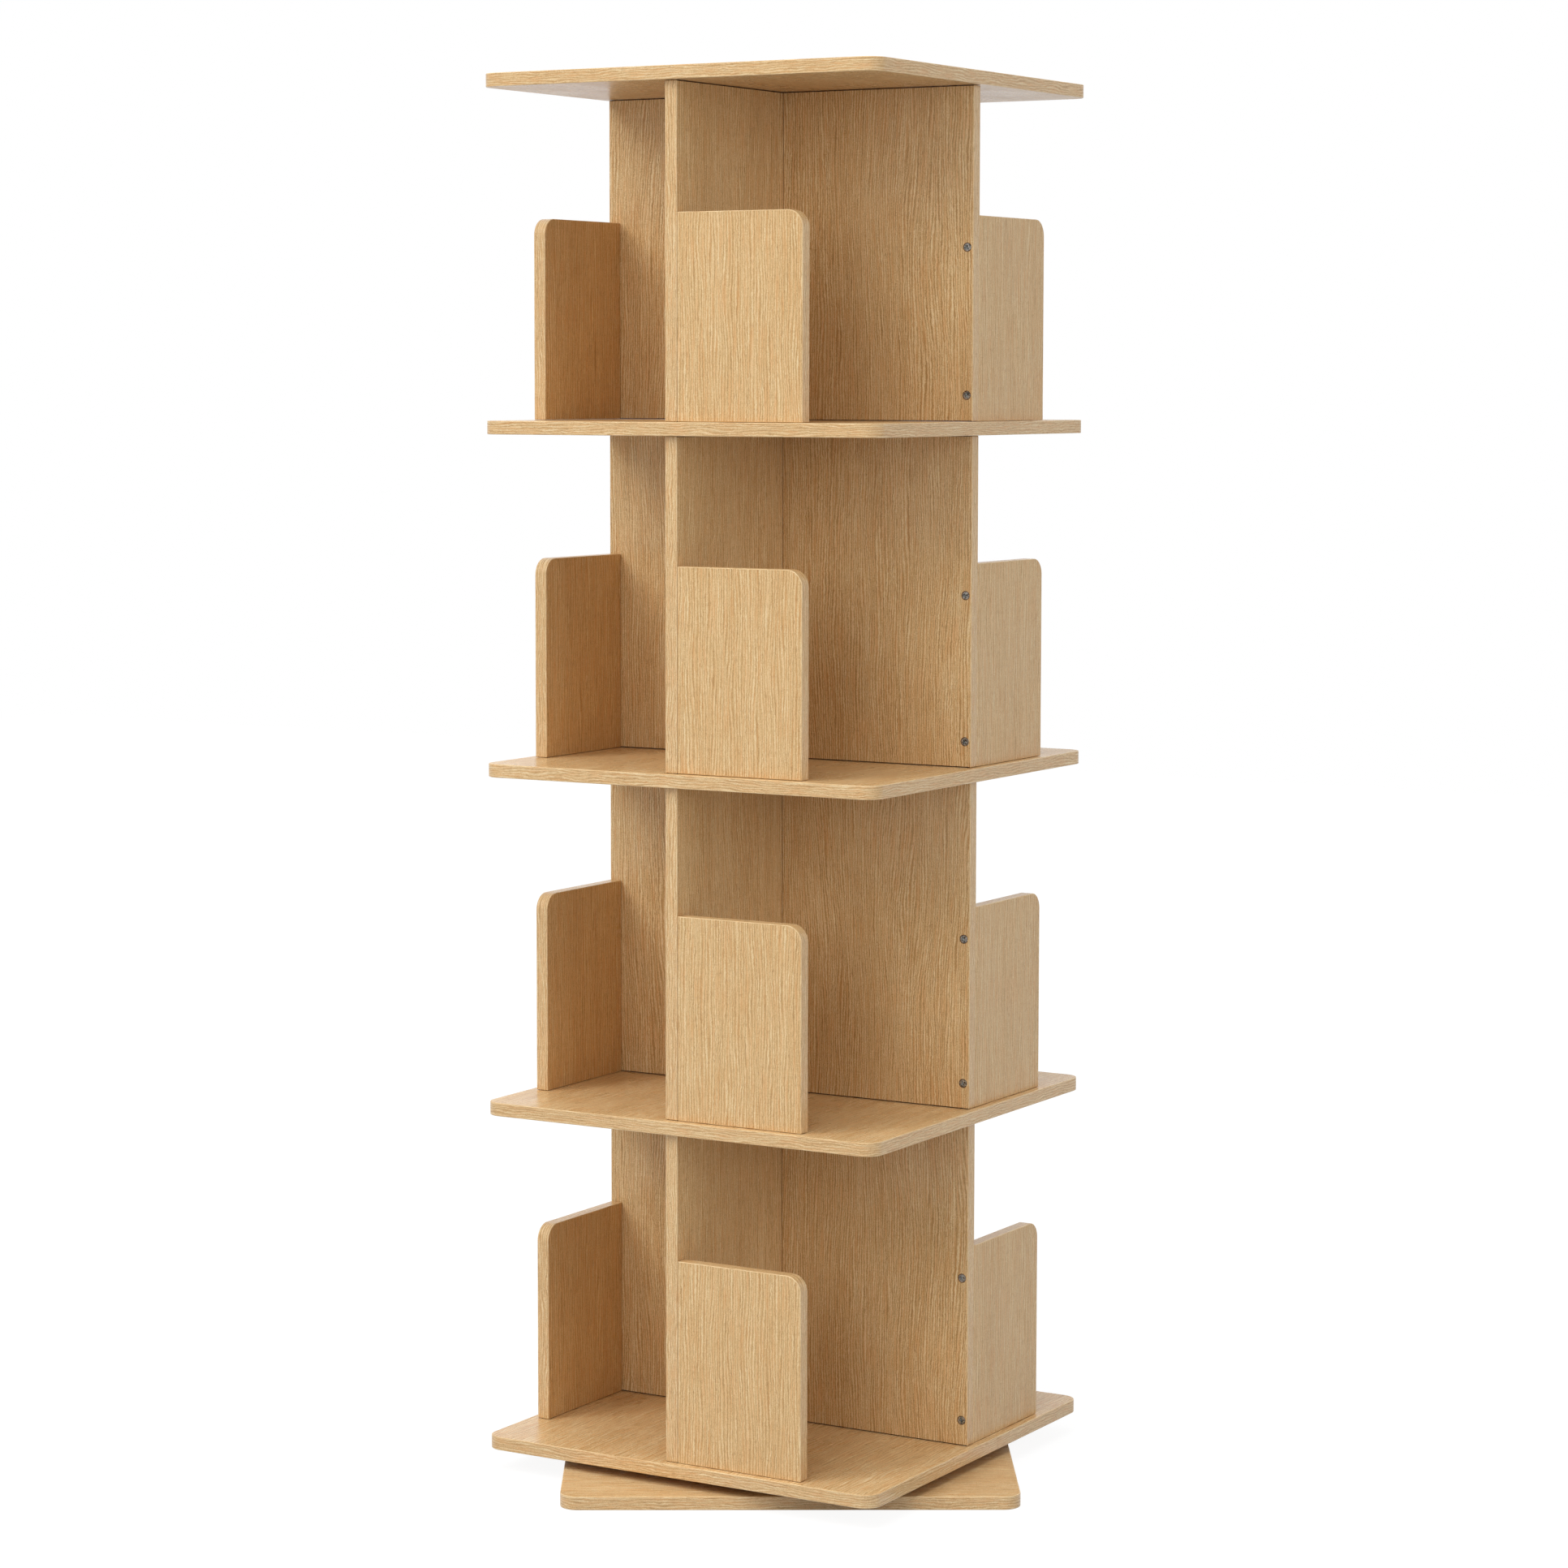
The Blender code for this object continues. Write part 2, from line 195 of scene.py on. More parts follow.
def hang_overhead():
    """One far soft lamp above, tilted a little to the front."""
    light = bpy.data.lights.new("overhead", "SUN")
    light.energy = OVERHEAD_STRENGTH
    light.angle = OVERHEAD_WIDTH
    lamp = bpy.data.objects.new("overhead", light)
    lamp.rotation_euler.x = OVERHEAD_TILT
    lamp.visible_glossy = False
    bpy.context.scene.collection.objects.link(lamp)


for name, (degrees, height, power) in SOFT_BOXES.items():
    stand_soft_box(name, math.radians(degrees), height, power)
hang_overhead()
print("lamps: soft boxes", *SOFT_BOXES, "and one overhead")


# %% [markdown]
# The floor is pale and plain, and to the camera it melts into the white behind it. It could simply be
# white, but then it would throw too much light back up on the lower tiers. So it is grey as a thing that
# bounces light. A white glow that only the camera and reflections see lifts it to white, and a share of its
# own shade left in keeps the soft shadow round the base.

# %% Floor
FLOOR_SIDE = 12
FLOOR_DROP = 0.0002
FLOOR_TONE = 0.45
FLOOR_SHADE_SHARE = 0.28
FLOOR_GLOW = 0.92


def grey(tone):
    """A grey in the form that a colour socket takes."""
    return (tone, tone, tone, 1)


def floor_material():
    """Pale matt floor that bounces light as such, and looks nearly white with a faint shadow."""
    material = bpy.data.materials.new("studio_floor")
    tree, output = blank_tree(material)
    matt = add_node(tree, "ShaderNodeBsdfDiffuse", {"Color": grey(FLOOR_TONE)})
    shade = add_node(tree, "ShaderNodeBsdfDiffuse", {"Color": grey(FLOOR_SHADE_SHARE * FLOOR_TONE)})
    glow = add_node(tree, "ShaderNodeEmission", {"Color": WHITE, "Strength": FLOOR_GLOW})
    lifted = add_node(tree, "ShaderNodeAddShader", {0: shade.outputs[0], 1: glow.outputs[0]})
    choice = add_node(
        tree, "ShaderNodeMixShader", {0: seen_directly(tree), 1: matt.outputs[0], 2: lifted.outputs[0]}
    )
    tree.links.new(choice.outputs[0], output.inputs["Surface"])
    return material


def lay_the_floor():
    """A square sheet just under the base board."""
    mesh = bpy.data.meshes.new("studio_floor")
    bm = bmesh.new()
    bmesh.ops.create_grid(bm, x_segments=1, y_segments=1, size=FLOOR_SIDE / 2)
    bm.to_mesh(mesh)
    bm.free()
    mesh.materials.append(floor_material())
    floor = bpy.data.objects.new("studio_floor", mesh)
    floor.location.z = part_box("base_board")[0].z - FLOOR_DROP
    bpy.context.scene.collection.objects.link(floor)


lay_the_floor()
print("floor: laid", FLOOR_DROP, "m under the base board")


# %% [markdown]
# The boards are faced with light oak, from cream to tan, with some lines that lean to orange. A screen's
# numbers for a colour are spaced for the eye, and a shader wants them in proportion to the light, so
# colours read from a screen are turned into such linear ones first.

# %% Colours of the oak
def screen_colour(red, green, blue):
    """A colour as read from a screen, 0 to 255, as the linear colour that a shader works in."""
    return tuple(
        channel / 12.92 if channel <= 0.04045 else ((channel + 0.055) / 1.055) ** 2.4
        for channel in (red / 255, green / 255, blue / 255)
    ) + (1.0,)


OAK_DARK = screen_colour(176, 136, 86)
OAK_TAN = screen_colour(205, 167, 114)
OAK_LIGHT = screen_colour(223, 191, 142)
OAK_CREAM = screen_colour(239, 216, 172)
OAK_ORANGE = screen_colour(220, 162, 102)
OAK_PORE = screen_colour(150, 105, 60)
# Cream of the eased edges: partly rubbed paler, partly a painted highlight.
OAK_ARRIS_RUB_AND_HIGHLIGHT = screen_colour(244, 220, 172)
OAK_TONES = ((0.0, OAK_DARK), (0.36, OAK_TAN), (0.62, OAK_LIGHT), (1.0, OAK_CREAM))
print("oak: tan", [round(channel, 3) for channel in OAK_TAN[:3]])


# %% [markdown]
# The grain could be cut from a solid block of noise, as real timber is, but a faced board shows the same
# straight grain on every side. So each face is unrolled flat, with the way across the grain as X and the
# way along it as Y, in metres. Every pattern is drawn in that flat space from one thing: noise, drawn out
# along the grain.

# %% Helpers for patterns
NOISE_ROUGHNESS = 0.6


def streaks(tree, place, width, length, detail=1.0):
    """Noise drawn out along the grain, from 0 to 1, in patches about width across and length along it."""
    drawn = add_node(tree, "ShaderNodeMapping", {"Vector": place, "Scale": (1 / width, 1 / length, 1)})
    noise = add_node(
        tree, "ShaderNodeTexNoise",
        {"Vector": drawn.outputs[0], "Scale": 1, "Detail": detail, "Roughness": NOISE_ROUGHNESS},
        noise_dimensions="2D",
    )
    return noise.outputs["Fac"]


def spread(tree, value, low, high, least=0.0, most=1.0):
    """Stretch the part of a value between low and high, so that it runs from least to most."""
    return add_node(
        tree, "ShaderNodeMapRange",
        {"Value": value, "From Min": low, "From Max": high, "To Min": least, "To Max": most},
    ).outputs["Result"]


def blend_colours(tree, share, first, second):
    """Mix two colours by a share from 0 to 1. The colour sockets are numbers 6 and 7, the result is 2."""
    return add_node(tree, "ShaderNodeMix", {0: share, 6: first, 7: second}, data_type="RGBA").outputs[2]


def tone_ramp(tree, value, tones):
    """Colours along a scale from 0 to 1, with soft steps between them."""
    made = add_node(tree, "ShaderNodeValToRGB", {"Fac": value})
    ramp = made.color_ramp
    ramp.elements[0].position, ramp.elements[0].color = tones[0]
    ramp.elements[1].position, ramp.elements[1].color = tones[-1]
    for position, colour in tones[1:-1]:
        ramp.elements.new(position).color = colour
    return made.outputs["Color"]


# %% [markdown]
# Oak shows fine, nearly even lines, the growth rings cut along. Noise alone looks like felt, and a Wave
# texture is too even. So a sine across the grain draws the lines, and noise shifts it, so that lines crowd,
# part and fade as they run. Before that, the flat space itself is pushed to and fro across the grain, so
# that whole patches of lines lean together and each line wavers.

# %% Lines of the grain
MOST_OF_NOISE = (0.30, 0.70)
MIDDLE = 0.5
WAVER_PATCH = (0.0025, 0.0060)
WAVER = 0.00030
CROWD_PITCHES = 5
CROWD_RUNS = 2
CROWD_RANGE = (0.25, 0.75)
CROWD_TURNS = 1.4
FADE_PITCHES = 1.2
FAINTEST_LINE = 0.20
STRONGEST_LINE = 0.65


def bent_grain(tree, flat, figure):
    """The flat place, pushed across the grain so that the lines drawn on it lean and waver."""
    width, length, lean_by = figure
    lean = spread(tree, streaks(tree, flat, width, length), *MOST_OF_NOISE, -lean_by, lean_by)
    waver = spread(tree, streaks(tree, flat, *WAVER_PATCH), *MOST_OF_NOISE, -WAVER, WAVER)
    push = add_node(tree, "ShaderNodeCombineXYZ", {"X": calculate(tree, "ADD", lean, waver)})
    return add_node(tree, "ShaderNodeVectorMath", {0: flat, 1: push.outputs[0]}).outputs["Vector"]


def growth_lines(tree, place, pitch, run, evenness):
    """Lines a pitch apart, as a value that swings about the middle."""
    across = add_node(tree, "ShaderNodeSeparateXYZ", {"Vector": place}).outputs["X"]
    crowding = streaks(tree, place, pitch * CROWD_PITCHES, run * CROWD_RUNS)
    phase = spread(tree, crowding, *CROWD_RANGE, 0, CROWD_TURNS * math.tau)
    turned = calculate(tree, "ADD", calculate(tree, "MULTIPLY", across, math.tau / pitch), phase)
    wave = calculate(tree, "SINE", turned, 0.0)
    fading = streaks(tree, place, pitch * FADE_PITCHES, run)
    strength = spread(tree, fading, *MOST_OF_NOISE, FAINTEST_LINE * evenness, STRONGEST_LINE * evenness)
    return calculate(tree, "ADD", calculate(tree, "MULTIPLY", wave, strength), MIDDLE)


# %% [markdown]
# Between the lines, wood is never one tone. Threads are finer than the lines, streaks run on for longer,
# specks are about a millimetre long, and stripes are several lines wide. Each is noise of one size mixed
# in by a share, which is easier to steer than one noise with much detail.

# %% Layers over the lines
THREAD_RANGE = (0.28, 0.72)
THREAD_SHARE = 0.32
STREAK_SHARE = 0.16
SPECK_SIZE = (0.0005, 0.0012)
SPECK_SHARE = 0.28
STRIPE_PITCHES = 6
STRIPE_RUNS = 5
STRIPE_SHARE = 0.07


def layered(tree, flat, place, lines, pitch, run):
    """The lines with threads, streaks, specks and stripes mixed in, in that order."""
    threads = streaks(tree, place, pitch / 4, run / 2)
    long_streaks = streaks(tree, place, pitch, run * 2)
    specks = streaks(tree, flat, *SPECK_SIZE)
    stripes = streaks(tree, place, pitch * STRIPE_PITCHES, run * STRIPE_RUNS)
    mixed = lines
    for share, layer, part in (
        (THREAD_SHARE, threads, THREAD_RANGE),
        (STREAK_SHARE, long_streaks, MOST_OF_NOISE),
        (SPECK_SHARE, specks, MOST_OF_NOISE),
        (STRIPE_SHARE, stripes, MOST_OF_NOISE),
    ):
        stretched = spread(tree, layer, *part)
        mixed = add_node(tree, "ShaderNodeMix", {0: share, 2: mixed, 3: stretched}).outputs[0]
    return mixed


# %% [markdown]
# The mixed pattern picks its tones from a ramp, and orange lines and pores lie over it. Pores are short
# dark dashes, open vessels of the wood. Eased edges are paler in patches, partly where hands and dusters
# have rubbed them and partly as a painted highlight along the arris. A shader can't tell where an edge is,
# so the mesh says it with a number on each face.

# %% Colour of the oak
ORANGE_PITCHES = 0.6
ORANGE_RANGE = (0.46, 0.72)
ORANGE_SHARE = 0.42
PORE_SIZE = (0.0004, 0.0060)
PORE_RANGE = (0.60, 0.72)
PORE_SHARE = 0.45
# Patches where the arris is paler: rubbing, and a painted highlight.
RUB_AND_HIGHLIGHT_PATCH = (0.004, 0.030)
RUB_AND_HIGHLIGHT_RANGE = (0.25, 0.60)
RUB_AND_HIGHLIGHT_SHARES = (0.05, 0.35)


def pore_dashes(tree, place):
    """1 in a pore and 0 beside it."""
    return spread(tree, streaks(tree, place, *PORE_SIZE), *PORE_RANGE)


def oak_colour(tree, place, tone, pores, pitch, run):
    """Tones of the grain, with orange lines and pores over them."""
    colour = tone_ramp(tree, tone, OAK_TONES)
    warmth = streaks(tree, place, pitch * ORANGE_PITCHES, run)
    colour = blend_colours(tree, spread(tree, warmth, *ORANGE_RANGE, 0, ORANGE_SHARE), colour, OAK_ORANGE)
    return blend_colours(tree, calculate(tree, "MULTIPLY", pores, PORE_SHARE), colour, OAK_PORE)


def rub_and_highlight_edges(tree, flat, colour):
    """The colour, paler in patches on the arris faces that the mesh marks: rubbed there, and a painted
    highlight.
    """
    arris = add_node(tree, "ShaderNodeAttribute", attribute_name="arris").outputs["Fac"]
    rub_and_highlight = spread(tree, streaks(tree, flat, *RUB_AND_HIGHLIGHT_PATCH, detail=2), *RUB_AND_HIGHLIGHT_RANGE, *RUB_AND_HIGHLIGHT_SHARES)
    return blend_colours(tree, calculate(tree, "MULTIPLY", arris, rub_and_highlight), colour, OAK_ARRIS_RUB_AND_HIGHLIGHT)


# %% [markdown]
# The board's satin lacquer is even, but hands change its gloss a little, pores break it, and both pores and
# lines can be felt through it. The relief is less than a tenth of a millimetre, far too fine for a
# mesh, so it is bump.

# %% Lacquer
HANDLED_PATCH = (0.05, 0.07)
LACQUER_ROUGHNESS = (0.24, 0.32)
PORE_ROUGHNESS = 0.15
LINE_HEIGHT = 0.5
LACQUER_RELIEF = {"Strength": 0.25, "Distance": 0.00006}


def lacquer(tree, flat, colour, lines, pores, shine):
    """The finished surface: satin over the colour, with lines and pores felt through it."""
    handled = streaks(tree, flat, *HANDLED_PATCH, detail=3)
    gloss = spread(tree, handled, *MOST_OF_NOISE, *LACQUER_ROUGHNESS)
    roughness = calculate(tree, "ADD", gloss, calculate(tree, "MULTIPLY", pores, PORE_ROUGHNESS))
    relief = calculate(tree, "SUBTRACT", calculate(tree, "MULTIPLY", lines, LINE_HEIGHT), pores)
    bump = add_node(tree, "ShaderNodeBump", {**LACQUER_RELIEF, "Height": relief})
    return add_node(tree, "ShaderNodeBsdfPrincipled", {
        "Base Color": colour, "Roughness": roughness,
        "Specular IOR Level": shine, "Normal": bump.outputs[0],
    }).outputs[0]


# %% [markdown]
# One tree serves all the oak, and a few numbers set its pieces apart, which keeps them one family. Shelves
# have the faintest regular lines, and dividers have wide patches that lean. A band is a thin strip glued
# round the board, so its lines are finer and shorter, and it catches more light.

# %% Oak materials
def oak_material(name, pitch, run, softness, evenness=1.0, figure=(0.05, 0.20, 0.0012), shine=0.3):
    """Faced oak, lacquered.

    Pitch is from one line to the next, and run is how long a line stays alike. Softness is how far the
    pattern must stray from its middle to reach the darkest or the palest tone. Evenness is how strong the
    regular lines are. Figure is how wide and how long the patches are in which lines lean together, and how
    far they are pushed to either side. Shine is the strength of the lacquer's mirror.
    """
    material = bpy.data.materials.new(name)
    tree, output = blank_tree(material)
    flat = add_node(tree, "ShaderNodeUVMap", uv_map="grain").outputs["UV"]
    place = bent_grain(tree, flat, figure)
    lines = growth_lines(tree, place, pitch, run, evenness)
    pattern = layered(tree, flat, place, lines, pitch, run)
    tone = spread(tree, pattern, MIDDLE - softness, MIDDLE + softness)
    pores = pore_dashes(tree, place)
    colour = rub_and_highlight_edges(tree, flat, oak_colour(tree, place, tone, pores, pitch, run))
    tree.links.new(lacquer(tree, flat, colour, lines, pores, shine), output.inputs["Surface"])
    return material


OAK_PANEL = oak_material("oak_panel", pitch=0.0026, run=0.045, softness=0.36)
OAK_SHELF = oak_material("oak_shelf", pitch=0.0034, run=0.032, softness=0.25, evenness=0.6, shine=0.45)
OAK_DIVIDER = oak_material(
    "oak_divider", pitch=0.0023, run=0.045, softness=0.26, figure=(0.12, 0.36, 0.006)
)
OAK_BAND = oak_material("oak_edge_band", pitch=0.0022, run=0.022, softness=0.36, shine=0.6)
for oak in (OAK_PANEL, OAK_SHELF, OAK_DIVIDER, OAK_BAND):
    print("oak:", oak.name, "has", len(oak.node_tree.nodes), "nodes")


# %% [markdown]
# Ends that meet another board get no band. They are raw chipboard, brown and crumbly, and the saw left the
# facing a little chipped along the joint. The darkest tone and the dark specks at the chips are partly
# painted shade, which draws the dark line along each joint and the dark ring in each countersink. A flake
# has no grain that anyone would see at this size, so coarse noise gives its colour and its relief.

# %% Raw end material
RAW_BROWN = screen_colour(124, 86, 52)
# The darkest raw tone, also painted shade along the joints, at the chips and in the countersinks.
RAW_DARK_AND_SHADE = screen_colour(52, 34, 22)
FLAKE_SIZE = (0.0015, 0.0025)
FLAKE_RANGE = (0.35, 0.65)
FLAKE_SHARE = 0.4
FLAKE_RELIEF = {"Strength": 0.6, "Distance": 0.0003}
CHIP_SHADE_SIZE = (0.004, 0.003)
CHIP_SHADE_RANGE = (0.48, 0.60)
RAW_ROUGHNESS = 0.85


def raw_end_material():
    """Matt chipboard, with dark specks of painted shade where the edge is chipped."""
    material = bpy.data.materials.new("raw_board_end")
    tree, output = blank_tree(material)
    flat = add_node(tree, "ShaderNodeUVMap", uv_map="grain").outputs["UV"]
    flakes = streaks(tree, flat, *FLAKE_SIZE, detail=3)
    chip_shade = spread(tree, streaks(tree, flat, *CHIP_SHADE_SIZE, detail=2), *CHIP_SHADE_RANGE)
    colour = blend_colours(tree, spread(tree, flakes, *FLAKE_RANGE, 0, FLAKE_SHARE), RAW_BROWN, RAW_DARK_AND_SHADE)
    colour = blend_colours(tree, chip_shade, colour, RAW_DARK_AND_SHADE)
    bump = add_node(tree, "ShaderNodeBump", {**FLAKE_RELIEF, "Height": flakes})
    matt = add_node(
        tree, "ShaderNodeBsdfPrincipled",
        {"Base Color": colour, "Roughness": RAW_ROUGHNESS, "Normal": bump.outputs[0]},
    )
    tree.links.new(matt.outputs[0], output.inputs["Surface"])
    return material


RAW_END = raw_end_material()
print("raw ends:", RAW_END.name, "has", len(RAW_END.node_tree.nodes), "nodes")


# %% [markdown]
# Every wooden piece is the same kind of thing: a flat panel with a glued edge band, whose sharp edges have
# been eased by a fraction of a millimetre. Bevel on a box would make the shape, but this way also unrolls
# it. The panel's outline is walked once round, and at each point the edge's section is drawn from the
# lower face, over the eased edge, up the band and over to the upper face. The way walked is the length
# along the band's grain, and the way up the section is the width across it.

# %% Outline and section of a panel
EASE = 0.0007
EASE_STEPS = 3
ROUND_STEPS = 20
SQUARE_STEPS = 3


def outline(low, high, radii, inset):
    """Points round a rectangle with rounded corners, from the lower left, drawn in by inset."""
    corners = (
        (low[0] + radii[0], low[1] + radii[0], math.pi),
        (high[0] - radii[1], low[1] + radii[1], math.pi * 1.5),
        (high[0] - radii[2], high[1] - radii[2], 0),
        (low[0] + radii[3], high[1] - radii[3], math.pi / 2),
    )
    points = []
    for (across, along, start), radius in zip(corners, radii):
        steps = ROUND_STEPS if radius > EASE * 2 else SQUARE_STEPS
        for step in range(steps + 1):
            angle = start + math.pi / 2 * step / steps
            points.append((
                across + (radius - inset) * math.cos(angle),
                along + (radius - inset) * math.sin(angle),
            ))
    return points


def edge_section(thickness):
    """The edge from lower face to upper face: inset, height and way travelled at each ring."""
    quarter = [
        (EASE * (1 - math.sin(angle)), EASE * (1 - math.cos(angle)), EASE * angle)
        for angle in (math.pi / 2 * step / EASE_STEPS for step in range(EASE_STEPS + 1))
    ]
    whole = EASE * math.pi + thickness - EASE * 2
    upper = [(inset, thickness - height, whole - way) for inset, height, way in reversed(quarter)]
    return quarter + upper


# %% [markdown]
# The band goes round the edge as one strip of faces for each step of the section. Where the outline faces
# a raw side, the strip gets the raw material instead. Each face also learns whether it is an eased arris,
# and where each of its corners lies on the band's pattern.

# %% Edge of a panel
SLOT_FACE, SLOT_BAND, SLOT_RAW = range(3)
FACING_ALIKE = 0.9


def ways_round(points):
    """The way walked round the outline up to each point, and at the end of the whole round."""
    walked = [0.0]
    for start, end in zip(points, points[1:] + points[:1]):
        walked.append(walked[-1] + math.dist(start, end))
    return walked


def faces_raw_side(start, end, raw_sides):
    """Whether the stretch of outline from start to end looks towards one of the raw sides."""
    outward = Vector((end[1] - start[1], start[0] - end[0])).normalized()
    return any(outward.dot(Vector(side)) > FACING_ALIKE for side in raw_sides)


def add_edge(bm, rings, widest, section, shift, raw_sides):
    """Faces round the edge from ring to ring, with their place on the pattern moved by shift."""
    grain = bm.loops.layers.uv["grain"]
    arris = bm.faces.layers.float["arris"]
    walked = ways_round(widest)
    for level, ((_, _, way), (_, _, next_way)) in enumerate(zip(section, section[1:])):
        for point, start in enumerate(widest):
            onward = (point + 1) % len(widest)
            is_raw = faces_raw_side(start, widest[onward], raw_sides)
            face = bm.faces.new((
                rings[level][point], rings[level][onward], rings[level + 1][onward], rings[level + 1][point]
            ))
            face.material_index = SLOT_RAW if is_raw else SLOT_BAND
            face[arris] = float(level != EASE_STEPS and not is_raw)
            ways = (
                (way, walked[point]), (way, walked[point + 1]),
                (next_way, walked[point + 1]), (next_way, walked[point]),
            )
            for loop, (across, along) in zip(face.loops, ways):
                loop[grain].uv = (across + shift[0], along + shift[1])


# %% [markdown]
# The two broad faces close the panel. Every face and edge is cut from its own place on one endless pattern,
# as facing is cut from a long sheet. Dice with a fixed seed choose the places, so no two pieces are alike
# and every run gives the same ones. Where a corner is as tight as the easing, the innermost points fall
# together, so the last step merges them.

# %% Mesh of a panel
PATTERN_FIELD = 5
MERGE_DISTANCE = EASE / 1000


def add_broad_face(bm, ring, is_lower, grain_along_y, shift):
    """The lower or the upper face, with its place on the pattern moved by shift."""
    grain = bm.loops.layers.uv["grain"]
    face = bm.faces.new(list(reversed(ring)) if is_lower else ring)
    face.material_index = SLOT_FACE
    for loop in face.loops:
        place = loop.vert.co
        across, along = (place.x, place.y) if grain_along_y else (place.y, place.x)
        loop[grain].uv = (across + shift[0], along + shift[1])


def panel_mesh(name, low, high, thickness, radii, oak, grain_along_y, seed, raw_sides=()):
    """A banded panel: its outline in X and Y, its thickness from Z 0 up, grain unrolled as a UV map.

    Raw sides are the outward directions of edges that have no band.
    """
    dice = random.Random(seed)
    edge_shift, lower_shift, upper_shift = (
        (dice.uniform(0, PATTERN_FIELD), dice.uniform(0, PATTERN_FIELD)) for _ in range(3)
    )
    section = edge_section(thickness)
    bm = bmesh.new()
    bm.loops.layers.uv.new("grain")
    bm.faces.layers.float.new("arris")
    rings = [
        [bm.verts.new((across, along, height)) for across, along in outline(low, high, radii, inset)]
        for inset, height, _ in section
    ]
    add_edge(bm, rings, outline(low, high, radii, 0), section, edge_shift, raw_sides)
    add_broad_face(bm, rings[0], True, grain_along_y, lower_shift)
    add_broad_face(bm, rings[-1], False, grain_along_y, upper_shift)
    bmesh.ops.remove_doubles(bm, verts=bm.verts, dist=MERGE_DISTANCE)
    bmesh.ops.dissolve_degenerate(bm, edges=bm.edges, dist=MERGE_DISTANCE)
    mesh = bpy.data.meshes.new(name)
    bm.to_mesh(mesh)
    bm.free()
    for material in (oak, OAK_BAND, RAW_END):
        mesh.materials.append(material)
    return mesh


# %% [markdown]
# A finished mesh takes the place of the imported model's plain one, so it rides on the same body and has to
# fill the same box. Round corners are shaded smooth, because each of their steps turns by less than ten
# degrees, and the steeper steps of an eased edge stay crisp. The misfit is measured on the mesh, because
# a wrong size would be hard to see.

# %% Put a panel on show
SHARP_ANGLE = math.radians(10)


def finish_panel(name, mesh, node, body):
    """Put a panel's mesh on show in place of its node, and return how far its box is from the node's."""
    mesh.polygons.foreach_set("use_smooth", [True] * len(mesh.polygons))
    mesh.set_sharp_from_angle(angle=SHARP_ANGLE)
    piece = bpy.data.objects.new(name, mesh)
    bpy.context.scene.collection.objects.link(piece)
    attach(piece, body)
    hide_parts(node)
    low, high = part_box(node)
    sizes = [[vertex.co[axis] for vertex in mesh.vertices] for axis in range(3)]
    return max(
        max(abs(min(size) - low[axis]), abs(max(size) - high[axis])) for axis, size in enumerate(sizes)
    )


def say_how_they_fit(kind, misfits):
    """Print how many pieces were made and the largest misfit among them."""
    print(f"{kind}: {len(misfits)} made, within {max(misfits) * 1000:.3f} mm of their nodes")


# %% [markdown]
# Four shelves carry the tiers, and a fifth board of the same kind closes the top. They have round corners
# of 16 mm, and their grain runs from front to back. One board copied five times would do for the shape,
# but all five would show the same grain, so each is made by itself, with a seed of its own.

# %% Shelves and top board
TIERS = 4
BOARDS = [f"shelf_{tier}" for tier in range(1, TIERS + 1)] + ["top_board"]
BOARD_RADII = [0.016] * 4

misfits = []
for seed, node in enumerate(BOARDS):
    low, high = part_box(node)
    mesh = panel_mesh(
        f"{node}_finished", low.xy, high.xy, high.z - low.z, BOARD_RADII, OAK_SHELF, True, seed
    )
    mesh.transform(Matrix.Translation((0, 0, low.z)))
    misfits.append(finish_panel(f"{node}_finished", mesh, node, "tower"))
say_how_they_fit("boards", misfits)


# %% [markdown]
# The base board is the same kind of panel, a little larger, and stands turned under the tower, with its
# grain along its own front edge. Its node's box gives only how wide the turned board reaches. A square
# that is turned reaches further than its side, and its round corners take a little of that away, so the
# side is worked back from the reach.

# %% Base board
BASE_TURN = math.radians(31)
BASE_SEED = 11

base_low, base_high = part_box("base_board")
reach_of_a_side = math.cos(BASE_TURN) + math.sin(BASE_TURN)
corner_give = BOARD_RADII[0] * (reach_of_a_side - 1)
base_side = (base_high.x - base_low.x + 2 * corner_give) / reach_of_a_side
half = Vector((base_side / 2, base_side / 2))
mesh = panel_mesh(
    "base_board_finished", -half, half, base_high.z - base_low.z, BOARD_RADII, OAK_SHELF, False, BASE_SEED
)
mesh.transform(Matrix.Translation((0, 0, base_low.z)) @ Matrix.Rotation(BASE_TURN, 4, "Z"))
misfit = finish_panel("base_board_finished", mesh, "base_board", "base")
print(f"base board: {base_side * 1000:.1f} mm square, within {misfit * 1000:.3f} mm of its node")


# %% [markdown]
# Each tier has four dividers in a pinwheel round the axis, and four short side panels, each butted against
# the outer end of its divider. All four sides are alike, so every piece is made as its tier's front one and
# then turned about the axis by quarter turns. Grain stands upright in both.

# %% Stand, turn and repeat upright pieces
QUARTERS = ("front", "right", "back", "left")


def stood_up(low, turned_from):
    """Stand a panel up: its X along the world axis turned_from, its Y up, its corner at low."""
    across = Vector(turned_from)
    up = Vector((0, 0, 1))
    through = across.cross(up)
    turn = Matrix((across, up, through)).transposed().to_4x4()
    return Matrix.Translation(low) @ turn


def quarter_turn(quarter):
    """The turn from the front to the named side."""
    return Matrix.Rotation(math.pi / 2 * QUARTERS.index(quarter), 4, "Z")


